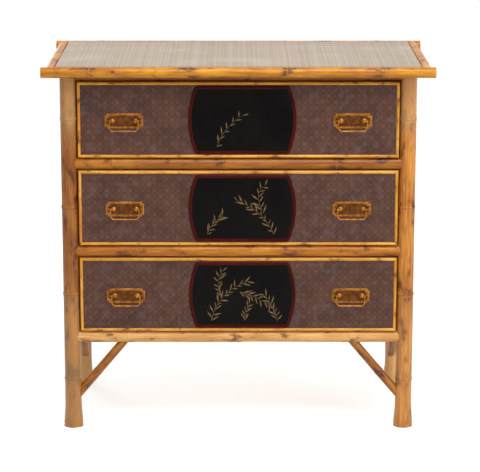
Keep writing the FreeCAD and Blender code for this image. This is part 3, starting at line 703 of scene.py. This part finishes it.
def pin_tree():
    """A small domed head at each vertex of the base mesh, facing outwards."""
    tree, size = geometry_tree("pins", Head=0.0014, Outwards=(0.0, -1.0, 0.0))
    head = add_node(tree, "MeshUVSphere", {"Segments": 10, "Rings": 6, "Radius": size["Head"]})
    flat = add_node(tree, "Transform", {"Geometry": head, "Scale": (1.0, 1.0, 0.5)})
    facing = add_node(tree, "AlignRotationToVector", {"Vector": size["Outwards"]}, axis="Z")
    uneven = add_node(tree, "RandomValue", {2: 0.85, 3: 1.15, "Seed": 4}, data_type="FLOAT")[1]
    spread = add_node(tree, "InstanceOnPoints", {"Points": size["Geometry"], "Instance": flat,
                                                 "Rotation": facing, "Scale": uneven})
    return finish_tree(spread, size["Material"])


dark_iron = iron_finish()
pin_heads = pin_tree()


def frame_pins(corners, outwards, spacing):
    """Pins along the crests of a strip frame, each row half a spacing in from its ends."""
    centre = sum(map(Vector, corners), Vector()) / 4
    crests = []
    for corner in map(Vector, corners):
        inwards = Vector([(way > strip_radius) - (way < -strip_radius) for way in centre - corner])
        crests.append(corner + (inwards + Vector(outwards)) * strip_radius)
    places = []
    for first, last in ((0, 1), (3, 2), (0, 3), (1, 2)):
        start, end = crests[first], crests[last]
        count = max(2, round((end - start).length / spacing))
        places += [start.lerp(end, (k + 0.5) / count) for k in range(count)]
    points = bpy.data.meshes.new("pin_places")
    points.from_pydata(places, [], [])
    return grow(pin_heads, dark_iron, base=points, Head=1.3 * mm, Outwards=tuple(outwards))


meshes = []
pins = []
for side, hand in left_and_right:
    x = hand * high.x
    near, far = (low.y, high.y)[::hand]
    corners = [(x, near, low.z), (x, far, low.z), (x, far, high.z), (x, near, high.z)]
    meshes += strip_frame(corners, (hand, 0, 0), 31.0 + 4 * hand)
    pins.append(frame_pins(corners, (hand, 0, 0), 90 * mm))
piece("split_bamboo_side_trim", meshes, "case", "bamboo", "side_trim")
piece("side_trim_pins", pins, "case", "iron")

# ---------------------------------------------------------------------------
# Top. A pine board carries a panel of fine grass matting under varnish. Round
# it runs a bamboo edging, whose long poles pass the short ones and end in
# small turned plugs.

bamboo_of_top = bamboo_finish("bamboo_of_top", (208, 144, 22), (166, 98, 8), (82, 42, 12))
edge_radius = 12.1 * mm
edge_form = {"Ridge": 0.6 * mm, "Taper": 0.0, "Bend": 0.1 * mm}
plug_depth = 0.8 * mm
edge_mates = {}
for end in ("front", "rear"):
    low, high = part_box(f"top_{end}_pole")
    line = (low + high) / 2
    edge_mates[end] = ((0, line.y, line.z), (1, 0, 0), edge_radius)
    half = high.x - plug_depth
    mesh = culm(bamboo_of_top, (-half, line.y, line.z), (half, line.y, line.z), edge_radius,
                seed=41.0 + line.y * 9, Rings=300, Node_one=high.x / 4, Pitch=high.x / 2, **edge_form)
    piece(f"bamboo_top_{end}_pole", [mesh], "case", "bamboo", f"top_{end}_pole")
edge_height = edge_mates["front"][0][2]
side_edge_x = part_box("top_side_poles")[1].x - edge_radius - 0.4 * mm
front_edge, rear_edge = edge_mates["front"][0][1], edge_mates["rear"][0][1]
meshes = [culm(bamboo_of_top, (hand * side_edge_x, front_edge, edge_height),
               (hand * side_edge_x, rear_edge, edge_height), edge_radius, seed=46.0 + hand,
               outwards=(hand, 0, 0), start_mate=edge_mates["front"], end_mate=edge_mates["rear"], Rings=150,
               Node_one=rear_edge / 2, Pitch=rear_edge, **edge_form) for side, hand in left_and_right]
piece("bamboo_top_side_poles", meshes, "case", "bamboo", "top_side_poles")


def in_millimetres(*pairs):
    return [(first * mm, second * mm) for first, second in pairs]


def closed_shell(loops, materials, crease=math.pi):
    """A shell through loops of points, closed at both ends and smooth up to the crease angle, with a
    material for each band between two loops and one for the last end."""
    shell = bmesh.new()
    rings = [[shell.verts.new(point) for point in loop] for loop in loops]
    last = len(materials) - 1
    shell.faces.new(rings[0][::-1])
    for band, (lower, upper) in enumerate(zip(rings, rings[1:])):
        for k in range(len(lower)):
            on = (k + 1) % len(lower)
            face = shell.faces.new((lower[k], lower[on], upper[on], upper[k]))
            face.material_index = min(band, last)
            face.smooth = True
    shell.faces.new(rings[-1]).material_index = last
    for edge in shell.edges:
        edge.smooth = edge.calc_face_angle(0) < crease
    bmesh.ops.recalc_face_normals(shell, faces=shell.faces)
    mesh = bpy.data.meshes.new("shell")
    shell.to_mesh(mesh)
    shell.free()
    for material in materials:
        mesh.materials.append(material)
    return mesh


def turned(profile, centre, way, material, segments=24):
    """A turning: (radius, distance along its axis) pairs from its base to its tip."""
    angles = [math.tau * k / segments for k in range(segments)]
    mesh = closed_shell([[(radius * math.cos(a), radius * math.sin(a), distance) for a in angles]
                         for radius, distance in profile], [material])
    mesh.transform(Matrix.Translation(centre) @ Vector(way).to_track_quat("Z", "Y").to_matrix().to_4x4())
    return mesh


plug_profile = in_millimetres((7.5, -1.2), (7.5, 0.25), (6.975, 0.5), (4.5, 0.7), (1.125, 0.75))
low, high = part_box("pole_plugs")
meshes = [turned(plug_profile, (hand * (high.x - plug_depth), edge_mates[end][0][1], edge_height),
                 (hand, 0, 0), pine_deep)
          for side, hand in left_and_right for end in ("front", "rear")]
piece("turned_pole_plugs", meshes, "case", "pine", "pole_plugs")


def grass_finish():
    """Fine grass matting, plain woven, pale and slightly grey under its varnish, darkened between its
    strands: the gaps of the weave, with painted shade in their hollows.
    """
    material, tree = new_material("grass_matting")
    place = object_place(tree)
    x, y, _ = parts_of(place)
    strand = 2.6 * mm
    u, v = x / strand, y / strand
    over = abs(whole(u) + whole(v)) % 2
    warp, weft = (abs(calc("SINE", way * math.pi)) for way in (u, v))
    weave = warp + (weft - warp) * over
    row_tone = noise(xyz(0.5, whole(v) * 0.73, 0.5), 3.0, 0.0)
    column_tone = noise(xyz(whole(u) * 0.61, 0.5, 4.5), 3.0, 0.0)
    tone = row_tone + (column_tone - row_tone) * over
    fibre = noise(place, 700.0, 2.0)
    base = coated(
        mixed(ramp(tone, 0.35, 0.65), (184, 170, 153), (158, 141, 121)),
        # the gaps between strands, with painted shade in the hollows of the weave
        ((1 - ramp(weave, 0.1, 0.6)) * 0.5, (112, 94, 77)),
        (ramp(noise(place, 6.0, 3.0), 0.5, 0.7) * 0.3, (192, 182, 170)),
        (ramp(fibre, 0.5, 0.8) * 0.2, (140, 116, 88)))
    return finished(material, base, 0.5 + fibre * 0.1, (weave + fibre * 0.3, 0.35, 0.4 * mm),
                    Specular_IOR_Level=0.3)


repaint("top_panel", grass_finish())

# ---------------------------------------------------------------------------
# Drawers. Pine boxes lapped together with dovetails. Each front carries a
# field of embossed paper in a mitred frame of split bamboo.

drawers = ("bottom_drawer", "middle_drawer", "top_drawer")
for drawer in drawers:
    for part, material in (("front_board", pine_across), ("sides", pine_deep), ("back", pine_across),
                           ("bottom", pine_across)):
        repaint(f"{drawer}_{part}", material)
    low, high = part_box(drawer + "_matting")
    size = high - low
    mesh = paper_sheet((0, low.y, (low.z + high.z) / 2), size.x, size.z, size.y, (0, -1, 0))
    piece(drawer + "_embossed_paper", [mesh], drawer, "matting", drawer + "_matting")
    low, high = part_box(drawer + "_trim")
    corners = [(low.x, high.y, low.z), (high.x, high.y, low.z),
               (high.x, high.y, high.z), (low.x, high.y, high.z)]
    meshes = strip_frame(corners, (0, -1, 0), 51.0 + low.z * 7)
    piece(drawer + "_split_bamboo", meshes, drawer, "bamboo", drawer + "_trim")
    piece(drawer + "_trim_pins", [frame_pins(corners, (0, -1, 0), 85 * mm)], drawer, "iron")

# ---------------------------------------------------------------------------
# Cartouches. Each drawer has a thin barrel-shaped board in its middle, black
# lacquered inside a dark red moulding, with gilt sprays of bamboo leaves in
# low relief. The sprays grow fuller from the top drawer to the bottom one.


def inset(points, distance):
    """A closed outline, counter-clockwise, moved inwards by a distance."""
    moved = []
    for k, point in enumerate(points):
        way_in, way_out = point - points[k - 1], points[(k + 1) % len(points)] - point
        before = Vector((-way_in.y, way_in.x)).normalized()
        after = Vector((-way_out.y, way_out.x)).normalized()
        moved.append(point + (before + after) * distance / (1 + before.dot(after)))
    return moved


def facing_front(mesh, centre):
    """Turns a mesh that faces up to face the front."""
    mesh.transform(Matrix.Translation(centre) @ Matrix.Rotation(math.radians(90), 4, "X"))
    return mesh


def moulding(points, profile, materials, centre):
    """A board that faces the front, from an outline and (inset, height) pairs."""
    loops = [[(p.x, p.y, height) for p in inset(points, distance)] for distance, height in profile]
    return facing_front(closed_shell(loops, materials, crease=math.radians(35)), centre)


def barrel(half_width, half_height, bulge, corner, steps=24):
    """Flat above and below, with sides that swell outwards and eased corners."""
    reach = (half_height ** 2 + bulge ** 2) / (2 * bulge)

    def on_side(y):
        return Vector((half_width - reach + math.sqrt(reach ** 2 - y ** 2), y))

    side = [on_side((half_height - corner) * (2 * k / steps - 1)) for k in range(steps + 1)]
    tip = on_side(half_height)
    flat = tip - Vector((corner, 0))
    eased = [side[-1].lerp(tip, t).lerp(tip.lerp(flat, t), t) for t in (0.2, 0.4, 0.6, 0.8, 1)]
    right = [Vector((p.x, -p.y)) for p in reversed(eased)] + side + eased
    return right + [-p for p in right]


def lacquer_finish(name, base, deep, streak_and_highlight):
    """Old lacquer: deep and glossy, hazed by fine scratch marks and crazing; on the red lacquer the light
    streaks are a painted highlight as well as scratch marks.
    """
    material, tree = new_material(name)
    place = object_place(tree)
    clouds = noise(place, 14.0, 3.0, 0.6)
    scratches_and_highlights = noise(place * (0.08, 1, 1), 700.0, 2.0, 0.6)
    crackle = noise(place, 260.0, 3.0, 0.7)
    shade = coated(mixed(ramp(clouds, 0.3, 0.7), base, deep), (ramp(scratches_and_highlights, 0.62, 0.8) * 0.35, streak_and_highlight))
    return finished(material, shade, 0.16 + clouds * 0.1 + ramp(crackle, 0.55, 0.75) * 0.12,
                    (crackle * 0.5 + scratches_and_highlights * 0.5, 0.12, 0.3 * mm), Specular_IOR_Level=0.06)


def gilt_finish():
    """Gold leaf, dulled and rubbed through to the brown size under it."""
    material, tree = new_material("dull_gilt")
    worn = noise(object_place(tree), 320.0, 3.0, 0.6)
    rubbed = ramp(worn, 0.46, 0.62)
    return finished(material, mixed(rubbed, (116, 92, 48), (66, 50, 34)), 0.42 + worn * 0.2,
                    Metallic=0.65 - rubbed * 0.5)


black_lacquer = lacquer_finish("black_lacquer", (5, 4, 4), (14, 11, 8), (38, 31, 23))
# its light streaks are a painted highlight on the moulding as well as scratch marks
red_lacquer = lacquer_finish("red_lacquer", (76, 12, 5), (50, 8, 4), (110, 38, 18))
dull_gilt = gilt_finish()


def spray_tree():
    """A stem bent through three points, with slender leaves to either side, laid on the ground plane."""
    tree, size = geometry_tree("leaf spray", Start=(0.0, 0.0, 0.0), Middle=(0.0, 0.02, 0.0),
                               End=(0.02, 0.05, 0.0), Leaves=14, Leaf_length=0.016, Leaf_width=0.0026,
                               Lift=0.0005, Stem=0.0006, Seed=1)
    bends = {label: size[label] for label in ("Start", "Middle", "End")}
    stem = add_node(tree, "CurveQuadraticBezier", {"Resolution": 24, **bends})
    ring = add_node(tree, "CurvePrimitiveCircle", {"Resolution": 6, "Radius": size["Stem"]})
    slimmer = 1 - add_node(tree, "SplineParameter")["Factor"] * 0.6
    stalk = add_node(tree, "CurveToMesh", {"Curve": stem, "Profile Curve": ring, "Scale": slimmer,
                                           "Fill Caps": True})
    # a leaf is a ball drawn out, thinned and pointed at its tip
    ball = add_node(tree, "MeshUVSphere", {"Segments": 8, "Rings": 10, "Radius": 1.0})
    laid = add_node(tree, "Transform", {"Geometry": ball, "Rotation": (0.0, math.pi / 2, 0.0)})
    x, y, z = parts_of(add_node(tree, "InputPosition"))
    slim = (1.02 - abs(x) * 0.98) ** 0.6
    outline = xyz((x + 1) * 0.5 * size["Leaf_length"], y * slim * size["Leaf_width"] * 0.5,
                  z * slim * size["Lift"])
    leaf = add_node(tree, "SetPosition", {"Geometry": laid, "Position": outline})
    dots = add_node(tree, "CurveToPoints", {"Curve": stem, "Count": size["Leaves"]}, mode="COUNT")
    side = add_node(tree, "InputIndex") % 2 * 2 - 1

    def scattered(low, high, offset):
        return add_node(tree, "RandomValue", {2: low, 3: high, "Seed": size["Seed"] + offset},
                        data_type="FLOAT")[1]

    along_stem = add_node(tree, "AlignRotationToVector", {"Vector": dots["Tangent"]}, axis="X",
                          pivot_axis="Z")
    angle = side * scattered(0.35, 0.95, 0) + scattered(-0.15, 0.15, 7)
    lean = add_node(tree, "EulerToRotation", {"Euler": xyz(0, 0, angle)})
    turned_out = add_node(tree, "RotateRotation", {"Rotation": along_stem, "Rotate By": lean},
                          rotation_space="LOCAL")
    leaves = add_node(tree, "InstanceOnPoints", {"Points": dots, "Instance": leaf, "Rotation": turned_out,
                                                 "Scale": scattered(0.6, 1.25, 3)})
    joined = add_node(tree, "JoinGeometry")
    for part in (leaves, stalk):
        feed(joined.socket.node.inputs[0], part)
    return finish_tree(joined, size["Material"])


leaf_spray = spray_tree()
leaf_length = 18 * mm
cartouche_bulge = 16 * mm
cartouche_corner = 6 * mm
rim_profile = in_millimetres((0, 0), (0, 1.5), (0.9, 2.5), (2.4, 3), (4.4, 2.8), (6.0, 2.3), (7, 2.1))
rim_width, field_height = rim_profile[-1]
# stems as (start, middle, end, leaves), in fractions of the panel's half width and half height
sprays = {
    "top_drawer": [((-0.5, -0.86), (-0.4, -0.3), (0.0, 0.15), 11)],
    "middle_drawer": [((0.62, -0.86), (0.45, -0.1), (-0.1, 0.25), 19),
                      ((0.42, -0.15), (0.2, 0.5), (0.45, 0.75), 12),
                      ((-0.7, -0.86), (-0.62, -0.5), (-0.4, -0.25), 12)],
    "bottom_drawer": [((-0.62, -0.86), (-0.5, 0.1), (0.1, 0.45), 21),
                      ((-0.42, -0.1), (-0.55, 0.4), (-0.4, 0.8), 13),
                      ((-0.05, 0.1), (0.4, -0.1), (0.62, -0.45), 15),
                      ((0.7, -0.86), (0.66, -0.4), (0.45, 0.0), 14),
                      ((0.05, -0.86), (0.0, -0.6), (0.15, -0.3), 10)],
}
for number, drawer in enumerate(drawers):
    low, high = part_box(drawer + "_cartouche")
    centre = Vector(((low.x + high.x) / 2, high.y, (low.z + high.z) / 2))
    half_width, half_height = (high.x - low.x) / 2, (high.z - low.z) / 2
    board = moulding(barrel(half_width, half_height, cartouche_bulge, cartouche_corner), rim_profile,
                     [red_lacquer] * (len(rim_profile) - 1) + [black_lacquer], centre)
    piece(drawer + "_lacquer_panel", [board], drawer, "lacquer", drawer + "_cartouche")
    meshes = []
    reach_x, reach_y = half_width - rim_width, half_height - rim_width
    for k, (*stem, leaves) in enumerate(sprays[drawer]):
        start, middle, end = ((x * reach_x, y * reach_y, 0.0) for x, y in stem)
        mesh = grow(leaf_spray, dull_gilt, Start=start, Middle=middle, End=end, Leaves=leaves,
                    Seed=10 * number + k, Leaf_length=leaf_length, Leaf_width=leaf_length * 0.17)
        meshes.append(facing_front(mesh, centre - Vector((0, field_height, 0))))
    piece(drawer + "_gilt_leaves", meshes, drawer, "lacquer")

# ---------------------------------------------------------------------------
# Handles. Each drawer has two cast drop handles: a plate with stepped corners
# and a raised border, two turned posts, and a bail that swings on pins in the
# balls of the posts. Square nuts hold them inside the drawer.


def brass_finish(name, bright, dull, spot, punched=0.0):
    """Cast brass, once lacquered: clouded with tarnish, its ground punched all over where punched is 1."""
    material, tree = new_material(name)
    place = object_place(tree)
    tarnish = noise(place, 90.0, 4.0, 0.6)
    spots = noise(place, 600.0, 2.0)
    dimples = add_node(tree, "TexVoronoi", {"Vector": place, "Scale": 900.0, "Randomness": 0.35})
    punches = ramp(dimples["Distance"], 0.2, 0.5)
    base = coated(
        mixed(ramp(tarnish, 0.38, 0.64), bright, dull),
        (ramp(spots, 0.56, 0.72) * 0.5, spot),
        ((1 - punches) * 0.55 * punched, spot))
    return finished(material, base, 0.3 + tarnish * 0.2 + 0.12 * punched,
                    (tarnish * 0.4 + spots * 0.3 + punches * punched * 2.0, 0.3, 0.3 * mm), Metallic=1.0)


rubbed_brass = brass_finish("rubbed_brass", (180, 120, 52), (140, 86, 34), (94, 56, 26))
hollow_brass = brass_finish("hollow_brass", (112, 69, 33), (80, 48, 25), (48, 29, 18), 1.0)


def bail_tree():
    """A bar swept along a bent line, swelling and collared at its middle."""
    tree, size = geometry_tree("swept bail", Bar=0.0018, Corner=0.005, Swell=0.5)
    line = add_node(tree, "MeshToCurve", {"Mesh": size["Geometry"]})
    line = add_node(tree, "FilletCurve", {"Curve": line, "Count": 8, "Radius": size["Corner"]}, mode="POLY")
    line = add_node(tree, "ResampleCurve", {"Curve": line, "Count": 160})
    middle = add_node(tree, "SplineParameter")["Factor"] - 0.5
    collars = bell(abs(middle) - 0.075, 0.009) + bell(abs(middle) - 0.1, 0.006) * 0.7
    scale = 1 + bell(middle, 0.07) * size["Swell"] * 0.5 + collars * size["Swell"] * 0.55
    ring = add_node(tree, "CurvePrimitiveCircle", {"Resolution": 14, "Radius": size["Bar"]})
    bar = add_node(tree, "CurveToMesh", {"Curve": line, "Profile Curve": ring, "Scale": scale,
                                         "Fill Caps": True})
    return finish_tree(smoothed(bar), size["Material"])


swept_bail = bail_tree()
plate_step = 5 * mm
post_place = 26 * mm
arm_place = 31.9 * mm
eye_place = post_place + 2.9 * mm
rivet_inset = 7 * mm
bail_drop = 22 * mm
half_bail = [(arm_place, 0), (arm_place, 6 * mm - bail_drop), (arm_place - 5 * mm, -bail_drop)]
bail_line = [(-a, b) for a, b in half_bail] + half_bail[::-1]
# profiles as (inset or radius, height)
plate_profile = in_millimetres((0, 0), (0, 0.7), (0.5, 1.2), (1.3, 1.5), (2.1, 1.2), (2.6, 0.7),
                               (3.6, 0.7), (3.9, 1.0), (4.4, 1.0), (4.7, 0.7))
plate_bands = [rubbed_brass] * 5 + [hollow_brass] + [rubbed_brass] * 3 + [hollow_brass]
post_profile = in_millimetres((5.4, -0.3), (5.4, 0.8), (4.9, 1.3), (3.4, 1.6), (2.5, 2.4), (2.2, 3.5),
                              (2.6, 4.4), (3.2, 5.1), (3.5, 6.3), (3.55, 7.6), (3.3, 8.8), (2.5, 9.8),
                              (1.3, 10.4), (0.3, 10.6))
eye_profile = in_millimetres((1.4, -3.0), (1.4, 0.9), (2.7, 1.2), (3.0, 2.2), (3.0, 3.8), (2.6, 4.6),
                             (1.2, 5.0))
rivet_profile = in_millimetres((1.5, -0.2), (1.5, 0.2), (1.2, 0.6), (0.6, 0.85), (0.1, 0.9))


def stepped(half_long, half_high, step):
    """An oblong with a square step at each corner, counter-clockwise."""
    inner_x, inner_y = half_long - step, half_high - step
    quarter = [(half_long, inner_y), (inner_x, inner_y), (inner_x, half_high)]
    points = [Vector(p) for p in quarter] + [Vector((-x, y)) for x, y in quarter[::-1]]
    return points + [-p for p in points]


for drawer in drawers:
    low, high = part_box(drawer + "_handle_plates")
    plate_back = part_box(drawer + "_matting")[0].y
    ground = plate_back - plate_profile[-1][1]
    half_high = (high.z - low.z) / 2
    handle_z = (low.z + high.z) / 2
    meshes = []
    for side, hand in left_and_right:
        bail_low, bail_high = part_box(f"{drawer}_{side}_bail")
        x = (bail_low.x + bail_high.x) / 2
        pivot_y = (bail_low.y + bail_high.y) / 2
        half_long = abs((high.x if hand > 0 else low.x) - x)
        meshes.append(moulding(stepped(half_long, half_high, plate_step), plate_profile, plate_bands,
                               (x, plate_back, handle_z)))
        line = bpy.data.meshes.new("bail_line")
        places = [(x + a, pivot_y, handle_z + b) for a, b in bail_line]
        line.from_pydata(places, [(k, k + 1) for k in range(len(places) - 1)], [])
        bail = [grow(swept_bail, rubbed_brass, base=line, Bar=1.6 * mm, Corner=4 * mm)]
        for sign in (-1, 1):
            for profile, place, segments in ((post_profile, post_place, 24),
                                             (rivet_profile, half_long - rivet_inset, 14)):
                meshes.append(turned(profile, (x + sign * place, ground, handle_z), (0, -1, 0),
                                     rubbed_brass, segments))
            bail.append(turned(eye_profile, (x + sign * eye_place, pivot_y, handle_z), (sign, 0, 0),
                               rubbed_brass))
        piece(f"{drawer}_{side}_brass_bail", bail, f"{drawer}_{side}_bail", "brass", f"{drawer}_{side}_bail")
    piece(drawer + "_brass_plates", meshes, drawer, "brass", drawer + "_handle_plates")
    repaint(drawer + "_handle_nuts", dark_iron)

# ---------------------------------------------------------------------------
# Stage. A pale floor under a white sky, with a large soft lamp above the front
# and smaller ones to the right and low behind the left.

floor_half = 12
floor_mesh = bpy.data.meshes.new("floor")
floor_mesh.from_pydata([(-floor_half, -floor_half, 0), (floor_half, -floor_half, 0),
                        (floor_half, floor_half, 0), (-floor_half, floor_half, 0)], [], [(0, 1, 2, 3)])
floor = bpy.data.objects.new("floor", floor_mesh)
bpy.context.scene.collection.objects.link(floor)


def seen_directly(tree):
    """1 for what the camera sees itself, in a gloss or through glass, and 0 for light on surfaces."""
    path = add_node(tree, "LightPath")
    return limited(path["Is Camera Ray"] + path["Is Glossy Ray"] + path["Is Transmission Ray"])


floor_finish, floor_tree = new_material("floor")
floor_shader = floor_tree.nodes["Principled BSDF"]
floor_shader.inputs["Base Color"].default_value = (0.8, 0.8, 0.8, 1)
floor_shader.inputs["Roughness"].default_value = 0.9
floor_shader.inputs["Emission Color"].default_value = (1, 1, 1, 1)
feed(floor_shader.inputs["Emission Strength"], seen_directly(floor_tree) * 0.55)
floor_mesh.materials.append(floor_finish)

world = bpy.data.worlds.new("sky")
bpy.context.scene.world = world
world.use_nodes = True
background = world.node_tree.nodes["Background"]
background.inputs["Color"].default_value = (1, 1, 1, 1)
sky_light = 0.52
feed(background.inputs["Strength"], sky_light + (1 - sky_light) * seen_directly(world.node_tree))


def soft_lamp(name, place, target, width, power):
    lamp = bpy.data.lights.new(name, "AREA")
    lamp.shape = "SQUARE"
    lamp.size = width
    lamp.energy = power
    made = bpy.data.objects.new(name, lamp)
    made.location = place
    made.rotation_euler = (Vector(target) - Vector(place)).to_track_quat("-Z", "Y").to_euler()
    bpy.context.scene.collection.objects.link(made)


soft_lamp("lamp_above", (0.4, -1.5, 3.0), (0, 0, 0.5), 1.6, 66)
soft_lamp("lamp_right", (2.6, -2.4, 1.5), (0, 0, 0.5), 1.4, 30)
soft_lamp("lamp_behind", (-1.8, 2.8, 1.6), (0, 0, 0.4), 1.4, 30)

# The camera stands level with a tall person's eyes and looks slightly down.

camera_data = bpy.data.cameras.new("camera")
camera_data.sensor_width = 36
camera_data.lens = 158.4
camera_data.shift_x = 0.0035
camera = bpy.data.objects.new("camera", camera_data)
camera.location = (0, -4.835, 1.545)
camera.rotation_euler = (math.radians(90 - 13.2), 0, 0)
bpy.context.scene.collection.objects.link(camera)
bpy.context.scene.camera = camera
bpy.context.scene.view_settings.view_transform = "Standard"
